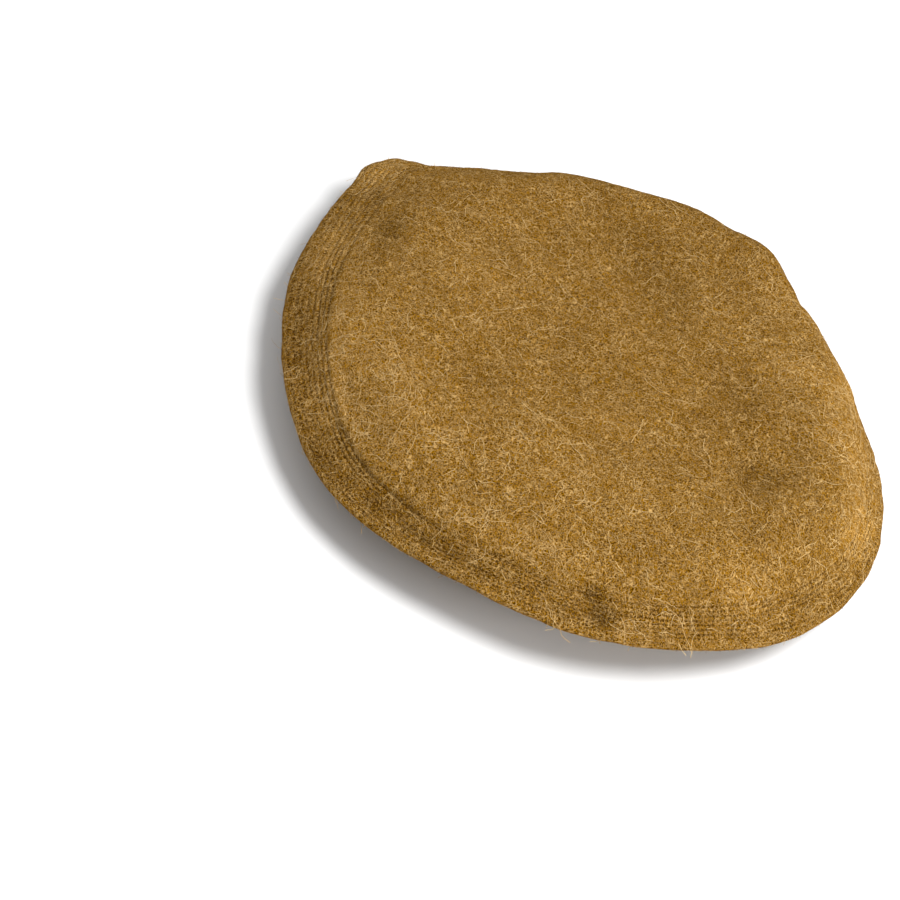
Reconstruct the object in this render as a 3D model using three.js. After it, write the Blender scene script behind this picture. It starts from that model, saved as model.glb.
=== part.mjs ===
// A pakol: a round felted wool hat whose flat, soft crown overhangs a rolled brim.
// Lengths are in millimetres. Bearings are in degrees, 0 along +X and 90 along +Y. +Z is up.
// The hat rests by itself on the foot of its rolled brim.
import * as THREE from 'three';

// Cloth
const WOOL = 1.9; // thickness of the felted wool
const COTTON = 1.0; // thickness of the lining
const SEAM_GAP = 0.35; // between two pieces that lie against each other
const EDGE_BULGE = 0.7; // how far the rounded edge of the wool stands out at the rim

// Rolled brim: an oval tube of wound cloth, bent round the head
const ROLL_RADIUS = 106; // from the roll's axis to the middle of its section
const ROLL_HALF_WIDTH = 19.5;
const ROLL_HALF_HEIGHT = 18.5;
const ROLL_MIDDLE = 17.5; // height of the section's middle, which presses the foot flat
const ROLL_AT = { x: 0.5, y: -3 }; // the soft crown has slid a little off the roll's axis
const ROLL_CLEARANCE = 0.6; // between the roll and the cloth that lies on it

// Crown: a flat top, a shoulder where it folds over the roll, and a rim that hangs free
const CROWN_TOP = 49; // height of the top above the surface that the hat rests on
const CROWN_SAG = 1.5; // how far the middle of the top hangs below its shoulder
const SHOULDER_SOFTNESS = 5; // how gently the top folds over
const TROUGH_HALF_WIDTH = 5; // of the trough along the quilted band

// The crown's edge round the hat: radius and height of the rim, radius of the shoulder, width
// of the quilted band along the rim, and depth of the trough along the middle of that band
const CROWN_EDGE = [
  { bearing: 0, rim: 143, height: 19, shoulder: 115, band: 23, trough: 0.5 },
  { bearing: 15, rim: 138, height: 19, shoulder: 112, band: 23, trough: 0.5 },
  { bearing: 30, rim: 137, height: 17, shoulder: 110, band: 23, trough: 0.5 },
  { bearing: 55, rim: 139, height: 15, shoulder: 114, band: 23, trough: 0.5 },
  { bearing: 80, rim: 143, height: 14, shoulder: 117, band: 23, trough: 0.5 },
  { bearing: 105, rim: 142, height: 14, shoulder: 110, band: 23, trough: 0.5 },
  { bearing: 125, rim: 141, height: 16, shoulder: 108, band: 24, trough: 0.5 },
  { bearing: 140, rim: 146, height: 21, shoulder: 109, band: 26, trough: 1.0 },
  { bearing: 150, rim: 152, height: 24, shoulder: 113, band: 26, trough: 1.0 },
  { bearing: 160, rim: 145, height: 23, shoulder: 112, band: 26, trough: 1.0 },
  { bearing: 175, rim: 140, height: 22, shoulder: 110, band: 25, trough: 1.0 },
  { bearing: 200, rim: 139, height: 22, shoulder: 111, band: 24, trough: 2.5 },
  { bearing: 215, rim: 142, height: 23, shoulder: 113, band: 20, trough: 3.0 },
  { bearing: 235, rim: 148, height: 23, shoulder: 115, band: 17, trough: 3.0 },
  { bearing: 250, rim: 148, height: 27, shoulder: 114, band: 15, trough: 2.0 },
  { bearing: 265, rim: 146, height: 30, shoulder: 112, band: 15, trough: 1.0 },
  { bearing: 285, rim: 147, height: 31, shoulder: 112, band: 15, trough: 1.0 },
  { bearing: 305, rim: 146, height: 29, shoulder: 113, band: 16, trough: 0.5 },
  { bearing: 320, rim: 147, height: 24, shoulder: 115, band: 17, trough: 1.0 },
  { bearing: 335, rim: 147, height: 21, shoulder: 116, band: 20, trough: 1.0 },
  { bearing: 348, rim: 146, height: 19, shoulder: 116, band: 23, trough: 0.5 },
];

// Dents and swells of the soft crown. Half lengths run round the hat and across it, and a
// rise below zero is a dent.
const CROWN_FORMS = [
  { name: 'far right swell', bearing: 63, radius: 112, round: 22, across: 13, rise: 4.0 },
  { name: 'right hollow', bearing: 14, radius: 70, round: 18, across: 9, rise: -2.5 },
  { name: 'right hollow, lower end', bearing: 345, radius: 86, round: 22, across: 11, rise: -3.5 },
  { name: 'right swell', bearing: 22, radius: 98, round: 20, across: 9, rise: 2.0 },
  { name: 'lower right swell', bearing: 350, radius: 118, round: 14, across: 8, rise: 2.0 },
  { name: 'lower swell', bearing: 315, radius: 115, round: 16, across: 8, rise: 2.0 },
  { name: 'pucker at the rim', bearing: 285, radius: 127, round: 5, across: 10, rise: -2.5 },
  { name: 'left swell', bearing: 225, radius: 108, round: 30, across: 9, rise: 1.5 },
  { name: 'dent by the left corner', bearing: 157, radius: 124, round: 10, across: 8, rise: -2.5 },
];

// Lining: a slack cotton disc sewn to the inner shoulder of the roll
const LINING_EDGE = 6; // from the middle of the roll inwards to the sewn edge
const LINING_RISE = 6; // of its middle above its edge
const LINING_PUCKERS = 12; // slack folds round its edge
const PUCKER_DEPTH = 0.7;

// Gathers that cross the roll, where the wound cloth is drawn in
const ROLL_GATHERS = [
  { bearing: 20, depth: 1.2, width: 5 },
  { bearing: 34, depth: 0.9, width: 5 },
  { bearing: 78, depth: 1.1, width: 6 },
  { bearing: 118, depth: 1.3, width: 5 },
  { bearing: 131, depth: 1.0, width: 5 },
  { bearing: 172, depth: 1.4, width: 5 },
  { bearing: 184, depth: 1.2, width: 5 },
  { bearing: 197, depth: 1.0, width: 5 },
  { bearing: 236, depth: 1.4, width: 5 },
  { bearing: 249, depth: 1.3, width: 5 },
  { bearing: 263, depth: 1.1, width: 5 },
  { bearing: 306, depth: 1.2, width: 6 },
  { bearing: 342, depth: 1.0, width: 5 },
];

// Fineness of the meshes
const CROWN_BEARINGS = 64;
const ROLL_BEARINGS = 96;
const ROLL_SIDES = 12;
const LINING_BEARINGS = 48;
const INSETS = [0, 2.5, 6, 10, 14, 18, 22, 26, 31, 36, 42]; // from the rim inwards
const SIDE_INNER_EDGE = 5; // from the middle of the roll inwards to the side cloth's end
const TOP_FRACTIONS = [0.84, 0.67, 0.5, 0.33, 0.16]; // of the innermost inset's radius
const LINING_FRACTIONS = [1, 0.9, 0.76, 0.58, 0.38, 0.19];

const radians = THREE.MathUtils.degToRad;

// The smallest turn from one bearing to another, in degrees
function turn(from, to) {
  return THREE.MathUtils.euclideanModulo(to - from + 180, 360) - 180;
}

// A bell curve: 1 at zero, and about a third at one half length
function bell(offset, halfLength) {
  return Math.exp(-((offset / halfLength) ** 2));
}

// A column of a table, read smoothly round the hat
function readRound(rows, column, bearing) {
  const count = rows.length;
  let low = count - 1;
  for (let i = 0; i < count; i += 1) {
    if (THREE.MathUtils.euclideanModulo(bearing, 360) >= rows[i].bearing) low = i;
  }
  const at = (i) => rows[(i + count) % count];
  const step = (i) => THREE.MathUtils.euclideanModulo(at(i + 1).bearing - at(i).bearing, 360);
  const slope = (i) => (at(i + 1)[column] - at(i - 1)[column]) / (step(i - 1) + step(i));
  const length = step(low);
  const t = THREE.MathUtils.euclideanModulo(bearing - at(low).bearing, 360) / length;
  const start = at(low)[column];
  const end = at(low + 1)[column];
  return start * (2 * t ** 3 - 3 * t ** 2 + 1) + end * (3 * t ** 2 - 2 * t ** 3)
    + length * (slope(low) * (t ** 3 - 2 * t ** 2 + t) + slope(low + 1) * (t ** 3 - t ** 2));
}

const edgeAt = (column, bearing) => readRound(CROWN_EDGE, column, bearing);

function place(bearing, radius, height) {
  const angle = radians(bearing);
  return new THREE.Vector3(radius * Math.cos(angle), radius * Math.sin(angle), height);
}

// Height of the crown's outer face
function crownHeight(bearing, radius) {
  const rim = edgeAt('rim', bearing);
  const rimHeight = edgeAt('height', bearing);
  const shoulder = edgeAt('shoulder', bearing);
  const top = CROWN_TOP - CROWN_SAG * (1 - (radius / shoulder) ** 2);
  const fall = (CROWN_TOP - rimHeight) / (rim - shoulder);
  const skirt = rimHeight + fall * (rim - radius);
  const folded = -SHOULDER_SOFTNESS
    * Math.log(Math.exp(-top / SHOULDER_SOFTNESS) + Math.exp(-skirt / SHOULDER_SOFTNESS));
  const fromTrough = rim - radius - edgeAt('band', bearing) / 2;
  let height = folded - edgeAt('trough', bearing) * bell(fromTrough, TROUGH_HALF_WIDTH);
  for (const form of CROWN_FORMS) {
    const along = radians(turn(form.bearing, bearing)) * form.radius;
    height += form.rise * bell(along, form.round) * bell(radius - form.radius, form.across);
  }
  return height;
}

// Upright thickness of a cloth that lies along the crown
function uprightThickness(bearing, radius, thickness) {
  const reach = 1;
  const rise = crownHeight(bearing, radius + reach) - crownHeight(bearing, radius - reach);
  return thickness * Math.hypot(1, rise / (2 * reach));
}

// Height of the crown's inner face
function crownUnderside(bearing, radius) {
  return crownHeight(bearing, radius) - uprightThickness(bearing, radius, WOOL);
}

// Distance from the roll's own axis
function rollDistance(bearing, radius) {
  const point = place(bearing, radius, 0);
  return Math.hypot(point.x - ROLL_AT.x, point.y - ROLL_AT.y);
}

// Height of the roll's upper face with its clearance, at a distance from the roll's axis
function aboveRoll(distance) {
  const across = (distance - ROLL_RADIUS) / (ROLL_HALF_WIDTH + ROLL_CLEARANCE);
  return ROLL_MIDDLE + (ROLL_HALF_HEIGHT + ROLL_CLEARANCE) * Math.sqrt(1 - Math.min(1, across ** 2));
}

// Height of the side cloth's lower face: on the roll at its inner end, under the crown outside
function sideUnderside(bearing, radius) {
  const distance = rollDistance(bearing, radius);
  const underCrown = crownUnderside(bearing, radius) - SEAM_GAP
    - uprightThickness(bearing, radius, WOOL);
  const lift = THREE.MathUtils.smoothstep(distance, ROLL_RADIUS, ROLL_RADIUS + 14);
  const onRoll = Math.min(aboveRoll(distance), underCrown);
  return THREE.MathUtils.lerp(onRoll, underCrown, lift);
}

// A closed mesh from loops of points round a section. Each loop is one bearing, and every
// loop has as many points. A pole is a single point that all loops share at that index.
// Each four-sided face is cut along its shorter diagonal, so that pieces that lie against
// each other are cut alike.
function closedGrid(loops, poles = []) {
  const bearings = loops.length;
  const points = loops[0].length;
  const positions = [];
  const index = [];
  const number = [];
  for (let j = 0; j < bearings; j += 1) {
    number.push([]);
    for (let i = 0; i < points; i += 1) {
      if (poles.includes(i) && j > 0) {
        number[j].push(number[0][i]);
      } else {
        number[j].push(positions.length / 3);
        positions.push(...loops[j][i].toArray());
      }
    }
  }
  for (let j = 0; j < bearings; j += 1) {
    const next = (j + 1) % bearings;
    for (let i = 0; i < points; i += 1) {
      const after = (i + 1) % points;
      if (poles.includes(i) && poles.includes(after)) continue;
      const [a, b, c, d] = [number[j][i], number[next][i], number[next][after], number[j][after]];
      const alongAC = loops[j][i].distanceTo(loops[next][after]);
      const alongBD = loops[next][i].distanceTo(loops[j][after]);
      if (a === b) {
        index.push(a, c, d);
      } else if (c === d) {
        index.push(a, b, c);
      } else if (alongAC < alongBD) {
        index.push(a, b, c, a, c, d);
      } else {
        index.push(a, b, d, b, c, d);
      }
    }
  }
  const geometry = new THREE.BufferGeometry();
  geometry.setAttribute('position', new THREE.Float32BufferAttribute(positions, 3));
  geometry.setIndex(index);
  geometry.computeVertexNormals();
  return geometry;
}

// One loop for each bearing round the hat
function loopsRound(count, makeLoop) {
  return Array.from({ length: count }, (_, j) => makeLoop((360 * j) / count));
}

// The top cloth, from the middle out to the rim and back along its inner face
function crownTop() {
  const loops = loopsRound(CROWN_BEARINGS, (bearing) => {
    const rim = edgeAt('rim', bearing);
    const inner = rim - INSETS.at(-1);
    const radii = [
      ...TOP_FRACTIONS.map((fraction) => fraction * inner).reverse(),
      ...INSETS.map((inset) => rim - inset).reverse(),
    ];
    const outside = radii.map((radius) => place(bearing, radius, crownHeight(bearing, radius)));
    const inside = radii.map((radius) => place(bearing, radius, crownUnderside(bearing, radius)));
    const middle = (crownHeight(bearing, rim) + crownUnderside(bearing, rim)) / 2;
    const edge = place(bearing, rim + EDGE_BULGE, middle);
    return [
      place(0, 0, crownUnderside(0, 0)), ...inside, edge, ...outside.reverse(),
      place(0, 0, crownHeight(0, 0)),
    ];
  });
  return closedGrid(loops, [0, loops[0].length - 1]);
}

// The side cloth: quilted to the top along the rim, then over the roll
function crownSide() {
  const loops = loopsRound(CROWN_BEARINGS, (bearing) => {
    const rim = edgeAt('rim', bearing);
    const innerEdge = ROLL_RADIUS - SIDE_INNER_EDGE
      + ROLL_AT.x * Math.cos(radians(bearing)) + ROLL_AT.y * Math.sin(radians(bearing));
    const radii = [...INSETS.slice(0, -1).map((inset) => rim - inset), innerEdge];
    const under = (radius) => sideUnderside(bearing, radius);
    const over = (radius) => under(radius) + uprightThickness(bearing, radius, WOOL);
    const upper = radii.map((radius) => place(bearing, radius, over(radius)));
    const lower = radii.map((radius) => place(bearing, radius, under(radius)));
    const edge = place(bearing, rim + EDGE_BULGE, (over(rim) + under(rim)) / 2);
    return [...lower.reverse(), edge, ...upper];
  });
  return closedGrid(loops);
}

// The roll, with its flat foot at height zero and its gathers
function brimRoll() {
  const loops = loopsRound(ROLL_BEARINGS, (bearing) => {
    let drawnIn = 0;
    for (const gather of ROLL_GATHERS) {
      drawnIn += gather.depth * bell(turn(gather.bearing, bearing), gather.width);
    }
    return Array.from({ length: ROLL_SIDES }, (_, i) => {
      const angle = (2 * Math.PI * (i + 0.5)) / ROLL_SIDES;
      const out = (ROLL_HALF_WIDTH - drawnIn) * Math.cos(angle);
      const up = (ROLL_HALF_HEIGHT - drawnIn) * Math.sin(angle);
      const onFoot = Math.sin(angle) < -0.9;
      const point = place(bearing, ROLL_RADIUS + out, onFoot ? 0 : Math.max(0, ROLL_MIDDLE + up));
      return point.add(new THREE.Vector3(ROLL_AT.x, ROLL_AT.y, 0));
    });
  });
  return closedGrid(loops);
}

// The lining, a shallow slack dome over the head
function lining() {
  const edgeRadius = ROLL_RADIUS - LINING_EDGE;
  const loops = loopsRound(LINING_BEARINGS, (bearing) => {
    const radii = LINING_FRACTIONS.map((fraction) => fraction * edgeRadius);
    const pucker = PUCKER_DEPTH * Math.cos(radians(bearing * LINING_PUCKERS));
    const under = (radius) => {
      const fraction = radius / edgeRadius;
      const dome = LINING_RISE * (1 - fraction ** 2);
      return aboveRoll(edgeRadius) + dome + pucker * (fraction ** 2) * (1 - fraction ** 8);
    };
    const at = (radius, height) => (
      place(bearing, radius, height).add(new THREE.Vector3(ROLL_AT.x, ROLL_AT.y, 0))
    );
    return [
      at(0, under(0)),
      ...[...radii].reverse().map((radius) => at(radius, under(radius))),
      ...radii.map((radius) => at(radius, under(radius) + COTTON)),
      at(0, under(0) + COTTON),
    ];
  });
  return closedGrid(loops, [0, loops[0].length - 1]);
}

const wool = new THREE.MeshStandardMaterial({ color: 0x99723a, roughness: 0.95, metalness: 0 });
const shadedWool = new THREE.MeshStandardMaterial({ color: 0x7b5a28, roughness: 0.95, metalness: 0 });
const cotton = new THREE.MeshStandardMaterial({ color: 0x796950, roughness: 0.8, metalness: 0 });

const pakol = new THREE.Group();

function addPiece(name, geometry, material) {
  const piece = new THREE.Mesh(geometry, material);
  piece.name = name;
  pakol.add(piece);
}

addPiece('crown_top', crownTop(), wool);
addPiece('crown_side', crownSide(), wool);
addPiece('brim_roll', brimRoll(), shadedWool);
addPiece('lining', lining(), cotton);

// The origin is under the middle of the whole hat
const whole = new THREE.Box3().setFromObject(pakol);
const middle = whole.getCenter(new THREE.Vector3());
pakol.position.set(-middle.x, -middle.y, -whole.min.z);

export default pakol;
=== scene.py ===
"""A pakol: a round felted wool hat whose flat, soft crown overhangs a rolled brim.

The crown is two layers of felt, quilted together in rows along the rim, and the brim is a
thick roll of wound felt. A slack cotton lining closes the head hollow. Lengths are in
millimetres until a mesh is made. Bearings are in degrees round the middle of the crown,
0 along +X and 90 along +Y.
"""
import math

import bpy
import numpy as np
from mathutils import Matrix, Vector


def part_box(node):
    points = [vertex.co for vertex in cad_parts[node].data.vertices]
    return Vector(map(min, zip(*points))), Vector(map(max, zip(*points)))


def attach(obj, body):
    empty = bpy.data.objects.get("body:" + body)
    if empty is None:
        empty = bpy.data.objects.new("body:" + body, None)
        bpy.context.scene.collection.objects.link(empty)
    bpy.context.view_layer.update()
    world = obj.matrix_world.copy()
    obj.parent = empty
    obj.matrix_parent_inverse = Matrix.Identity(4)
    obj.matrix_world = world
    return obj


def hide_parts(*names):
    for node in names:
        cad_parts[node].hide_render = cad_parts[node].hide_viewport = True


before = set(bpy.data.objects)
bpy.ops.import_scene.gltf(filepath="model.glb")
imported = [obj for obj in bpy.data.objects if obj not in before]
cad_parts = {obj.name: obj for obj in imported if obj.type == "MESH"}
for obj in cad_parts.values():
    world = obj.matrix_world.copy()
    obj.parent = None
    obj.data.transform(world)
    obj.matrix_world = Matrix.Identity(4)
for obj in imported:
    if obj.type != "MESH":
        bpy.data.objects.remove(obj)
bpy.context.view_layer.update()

MM = 0.001
FELT = 1.9  # thickness of the wool cloth
SEAM = 0.35  # between two layers that lie on each other
COTTON = 1.0  # thickness of the lining

# The crown's meshes
BEARINGS = 720  # of the top
SIDE_BEARINGS = 480
BEAD_START = 2.2  # from the rim, where the cloth turns round its edge
BEAD_STEPS = 9  # round that edge
BAND_END = 40.0  # from the rim along the cloth, where the close rings end
BAND_STEP = 0.6
INNER_RINGS = 84  # from there to the middle
INSIDE_SHARES = (0.965, 0.93, 0.88, 0.82, 0.75, 0.66, 0.54, 0.4, 0.25, 0.12)  # of the rim's radius
OVER_SHARES = (0.0, 0.08, 0.2, 0.35, 0.5, 0.65, 0.8, 0.92, 1.0)  # of the way in, on the side
SIDE_RINGS = 56  # from the rim in to the roll
SIDE_TUCK, OVER_TUCK = 0.3, 0.2  # how far in the side cloth and its hidden face start
# Radii within which the side cloth lies on the roll, and past which it is clear of it
ROLL_TOUCHED, ROLL_CLEARED = 112, 124

# The quilted band along the rim: its width along the cloth, by bearing
BAND_WIDTHS = [
    (0, 22.0), (45, 23.5), (90, 24.0), (150, 26.0), (165, 27.0), (180, 27.0), (192, 24.5),
    (205, 22.0), (220, 19.5), (235, 16.5), (250, 14.0), (280, 14.0), (300, 14.5),
    (315, 16.0), (330, 18.0), (345, 20.0),
]
STITCH_ROWS = 8  # in the band, the innermost one in its crease
STITCHES_ROUND = 420  # in each row
STITCH_LIFT = -0.05  # of a stitch's middle off the cloth
NO_ROW = 99.0  # carried by cloth that isn't quilted
ROW_DEPTH = 0.12
ROW_HALF = 0.6
ROW_MARK_DEPTH = 0.8
PUCKER_DEPTH = 0.38
PUCKERS_ROUND = 150
PUCKER_LENGTH = 3.2  # across the rows

# The crease at the innermost row, the cloth that swells inside it, and the swell at the rim
CREASE_HALF = 0.75
CREASE_STRAY, CREASE_BENDS = 0.5, 60  # how far from its line, and how often in a turn
CREASE_SWELL, CREASE_SWELL_AT, CREASE_SWELL_HALF = 0.5, 3.2, 2.2
RIM_SWELL, RIM_SWELL_AT, RIM_SWELL_HALF = 0.35, 3.0, 1.6
SIDE_CREASE_DEPTH, SIDE_CREASE_HALF = 0.7, 0.9
SIDE_PUCKERS = 0.7  # of those on the top

# Depth of the crease, by bearing
CREASE_DEPTHS = [
    (0, 0.5), (60, 0.5), (130, 0.5), (165, 0.4), (185, 0.6), (205, 0.8), (218, 0.9), (240, 1.1),
    (248, 1.0), (255, 0.5), (263, 1.0), (276, 1.3), (286, 0.7), (300, 1.0), (318, 0.7),
    (340, 0.4),
]

# Where the rows of stitches have drawn the cloth in most: bearing, row, half turn, half as
# many rows, and how deep
ROW_MARKS = [
    ("upper left", 163, 5.0, 14, 3.0, 0.5),
    ("inner rows, left", 196, 6.3, 18, 1.5, 0.8),
    ("inner rows, lower left", 230, 6.8, 15, 1.1, 1.0),
    ("middle row, lower left", 262, 4.0, 14, 1.4, 0.7),
    ("inner row, below", 278, 7.2, 12, 0.9, 0.7),
    ("rows below", 306, 4.0, 18, 4.0, 0.4),
    ("inner rows, lower right", 330, 6.5, 12, 1.6, 0.5),
    ("outer rows, right", 352, 2.2, 16, 1.8, 0.7),
    ("far side", 70, 5.0, 60, 2.0, 0.4),
]

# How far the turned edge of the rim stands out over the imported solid, by bearing
RIM_REACH = [
    (0, 1.0), (10, 1.4), (20, 1.2), (38, 0.6), (48, -0.4), (56, 0.6), (130, 0.4), (138, 0.0),
    (145, 0.6), (152, -0.2), (162, 0.5), (180, 0.9), (230, 0.8), (262, 1.4), (280, 2.4),
    (310, 2.4), (325, 1.0), (345, 0.4),
]
RIM_WAVE, RIM_WAVES = 0.2, 90

# Chance lumps of the cloth: height, size and seed
CROWN_LUMPS = [(0.55, 24, 1), (0.3, 11, 2), (0.14, 4.3, 3), (0.1, 2.4, 4)]
SIDE_LUMPS = [(0.3, 16, 11), (0.15, 4.5, 12)]

# Small dents and swells of the crown, over those of its solid: bearing, distance from the
# rim along the cloth, half length round the hat, half length across it, rise, and painted
# light: how much lighter the wool is painted there, below 0 darker, as painted light and
# shade on the forms and in part as paler wool; more loose hairs stand where it is lighter.
CROWN_FORMS = [
    ("pucker, outer spot", 286, 7, 4.6, 4.4, -0.7, -2.0),
    ("pucker, inner spot", 284, 15, 5.0, 5.0, -0.8, -2.0),
    ("pucker, fold beside it", 292, 13, 5.0, 4.5, 1.0, 0.2),
    ("pucker, fold before it", 277, 13, 5.0, 4.0, 0.8, 0.2),
    ("fold of the band, left", 243, 8, 5.0, 6.0, -0.8, -0.3),
    ("ridge inside the trough", 222, 21, 40.0, 3.5, 0.9, 0.2),
    ("trough of the band, left", 205, 7, 46.0, 4.0, -0.8, -0.8),
    ("trough of the band, lower left", 254, 8, 24.0, 3.0, -0.7, -0.9),
    ("dent in the left corner", 174, 40, 13.0, 9.0, -1.3, -1.1),
    ("small dent, left", 245, 26, 4.0, 3.0, -0.6, 0.0),
    ("rise behind the left band", 208, 30, 30.0, 8.0, 1.6, 1.1),
    ("rise behind the lower band", 266, 27, 34.0, 6.0, 0.9, 0.6),
    ("rim, right", 352, 14, 46.0, 14.0, 0.6, 0.8),
    ("spot on the right rim", 349, 21, 16.0, 10.0, 0.4, 2.4),
    ("shoulder, lower right", 313, 22, 11.0, 9.0, 1.1, 1.0),
    ("shoulder, far right", 27, 30, 15.0, 10.0, 1.2, 1.8),
    ("rim, far right", 44, 36, 16.0, 12.0, 1.0, 0.9),
    ("slope of the right side", 8, 34, 34.0, 18.0, 0.0, 1.5),
    ("rim's edge, far right", 14, 12, 34.0, 12.0, 0.7, 0.6),
    ("notch of the far side", 50, 37, 4.0, 12.0, -1.2, 0.0),
    ("far shoulder", 65, 42, 15.0, 12.0, 2.8, 0.0),
    ("far shoulder, left end", 84, 40, 16.0, 12.0, 1.6, 0.0),
    ("rise of the far side", 112, 38, 14.0, 10.0, 1.4, 0.0),
    ("corner's far edge", 138, 4, 10.0, 7.0, -1.3, 0.0),
    ("band, left", 205, 19, 34.0, 5.0, 0.4, 0.9),
    ("corner, upper left", 156, 14, 16.0, 12.0, 0.0, 0.8),
    ("rim, far left", 149, 8, 24.0, 14.0, 0.0, 1.8),
    ("band, upper left", 180, 16, 22.0, 11.0, 0.0, 2.5),
    ("rim's edge, lower left", 233, 3, 16.0, 4.0, 0.0, -1.0),
    ("band, lower right", 310, 8, 26.0, 8.0, 0.0, 0.4),
    ("crease, lower left", 223, 18, 21.0, 7.0, 0.0, 2.1),
]
PAINTED_LIGHT_LIMIT = 3  # either way, half of what would turn the brightness negative

# Broad hollows and swells of the crown's middle: place, half length, half width, bearing of
# the length, rise, and painted light and shade, in part paler wool, as on the small ones
CROWN_HOLLOWS = [
    ("valley, far end", 0, 66, 36.0, 20.0, 135, -2.0, -0.7),
    ("valley, middle", 56, 8, 30.0, 15.0, 110, -2.4, -0.8),
    ("valley, near end", 74, -33, 13.0, 10.0, 100, -2.4, -1.0),
    ("swell inside the left crease", -86, -70, 16.0, 24.0, 40, 0.6, 0.8),
    ("swell inside the lower crease", -62, -92, 12.0, 16.0, 60, 0.3, 0.8),
    ("middle", -6, -18, 48.0, 30.0, 140, -1.2, -0.2),
    ("swell, left", -64, 4, 20.0, 16.0, 60, 0.8, 0.4),
    ("spot, left", -46, -53, 9.0, 8.0, 0, -0.6, -0.5),
    ("swell, lower", 6, -80, 34.0, 18.0, 15, 0.6, 0.5),
    ("ridge across the middle", 8, -44, 14.0, 9.0, 0, 0.5, 0.8),
    ("spot on the right shoulder", 80, 38, 11.0, 9.0, 0, 0.4, 1.2),
]

# The brim roll
ROLL_ROWS, ROLL_CORNERS = 96, 12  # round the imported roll, and round its section
ROLL_BEARINGS, ROLL_SIDES = 900, 72  # and the same of the felt over it
ROLL_LEVEL = 17.5  # height of the section's middle
HALF_HEIGHT_LESS = 1.0  # than the half width
ROLL_SWELL = 0.5
GATHER_DEPTH = 0.3  # of the fine ones all round
UNDER_FROM, UNDER_FADE = 0.8, 0.15  # how far down a face points where the foot starts
FOOT_PRESSED = 0.25  # into the floor
FOOT_TOP, FOOT_FADE = 2.2, 1.6  # height up to which the cloth is pressed smooth
TOP_FROM, TOP_FADE = 12, 5  # height over the section's middle where the side cloth lies on it
TOP_SMOOTHED = 0.8  # of the gathers, under that cloth
COVERED_FROM, COVERED_FADE = 31, 4  # height where no loose hairs grow under that cloth

# Groups of gathers across the brim roll: bearing, how many, their spread and their depth
ROLL_GATHERS = [
    (20, 3, 9, 1.3), (34, 2, 6, 1.0), (50, 1, 4, 0.7), (78, 4, 11, 1.3), (99, 2, 6, 0.8),
    (118, 3, 7, 1.5), (131, 3, 8, 1.2), (152, 2, 7, 0.8), (172, 4, 8, 1.6), (184, 3, 7, 1.4),
    (197, 3, 8, 1.2), (215, 2, 8, 0.8), (236, 4, 8, 1.6), (249, 3, 7, 1.5), (263, 3, 8, 1.3),
    (284, 2, 9, 0.7), (306, 4, 10, 1.4), (325, 2, 7, 0.8), (342, 3, 9, 1.2),
]

# The lining
LINING_POINTS = 97  # across the cloth
LINING_SLACK = 0.010  # how much wider the cloth is than the folds it is sewn into
LINING_FRAMES = 40  # of the simulation
LINING_SWAY = 1.6  # how far the simulation may move a point along each axis from its start
LINING_BLUR = 40  # rounds of smoothing that give the height around a point
LINING_RELIEF = 2.0  # hanging this far below what is around gives the full painted light
LINING_SLOPE = 0.5  # and so does this fall from one point to the next
LINING_SAG, LINING_SAG_SIZE = 1.5, 34  # chance sagging between the folds
FOLD_STRAY, FOLD_STRAY_SIZE = 7, 26  # how far the folds stray from their lines

# Folds of the lining, from its sewn edge: bearing, length, half width, lean and how deep
LINING_FOLDS = [
    (4, 64, 7.0, 24, 3.2), (27, 36, 4.0, -14, 2.2), (58, 84, 9.0, 30, 3.8),
    (88, 40, 3.6, -18, 2.4), (126, 70, 8.0, -34, 3.6), (150, 44, 4.6, 22, 2.8),
    (174, 90, 8.5, 26, 3.8), (203, 42, 3.8, -20, 2.4), (237, 60, 9.0, 32, 3.4),
    (256, 52, 4.4, -16, 2.8), (301, 76, 8.0, -38, 3.6), (338, 46, 4.6, 20, 2.8),
]


# Numbers

LATTICE = 256  # lumps, after which the noise repeats


def ease(value):
    """0 below 0, 1 above 1, and a smooth rise between them."""
    t = np.clip(value, 0, 1)
    return t * t * (3 - 2 * t)


def bell(offset, half):
    """1 at no offset, and about a third at one half length."""
    return np.exp(-((offset / half) ** 2))


def turn(bearing, start):
    """The smallest turn from a start to a bearing."""
    return (bearing - start + 180) % 360 - 180


def lumps(u, v, seed, wrap=(LATTICE, LATTICE)):
    """Smooth noise from -1 to 1, one lump to a unit, that repeats after wrap units."""
    lattice = np.random.default_rng(seed).uniform(-1, 1, wrap)
    i, j = np.floor(u).astype(int), np.floor(v).astype(int)
    s, t = ease(u - i), ease(v - j)

    def at(a, b):
        return lattice[(i + a) % wrap[0], (j + b) % wrap[1]]

    near = at(0, 0) * (1 - s) + at(1, 0) * s
    far = at(0, 1) * (1 - s) + at(1, 1) * s
    return near * (1 - t) + far * t


def plane_lumps(x, y, size, seed):
    """Noise over the plan of the hat, in lumps of one size."""
    return lumps(x / size + LATTICE / 2, y / size + LATTICE / 2, seed)


def layered_lumps(x, y, layers):
    return sum(height * plane_lumps(x, y, size, seed) for height, size, seed in layers)


def round_lumps(turns, across, count, rows, seed):
    """Noise that closes after a turn round the hat, with a count of lumps in it."""
    u, v = np.broadcast_arrays(turns * count, across)
    return lumps(u, v, seed, (count, rows))


def read_table(rows, bearings, spread=12, samples=7):
    """A table by bearing, read round the hat and rounded off over a few degrees."""
    known, values = zip(*rows)
    total = 0
    for shift in np.linspace(-spread / 2, spread / 2, samples):
        total = total + np.interp(bearings + shift, known, values, period=360)
    return total / samples


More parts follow.
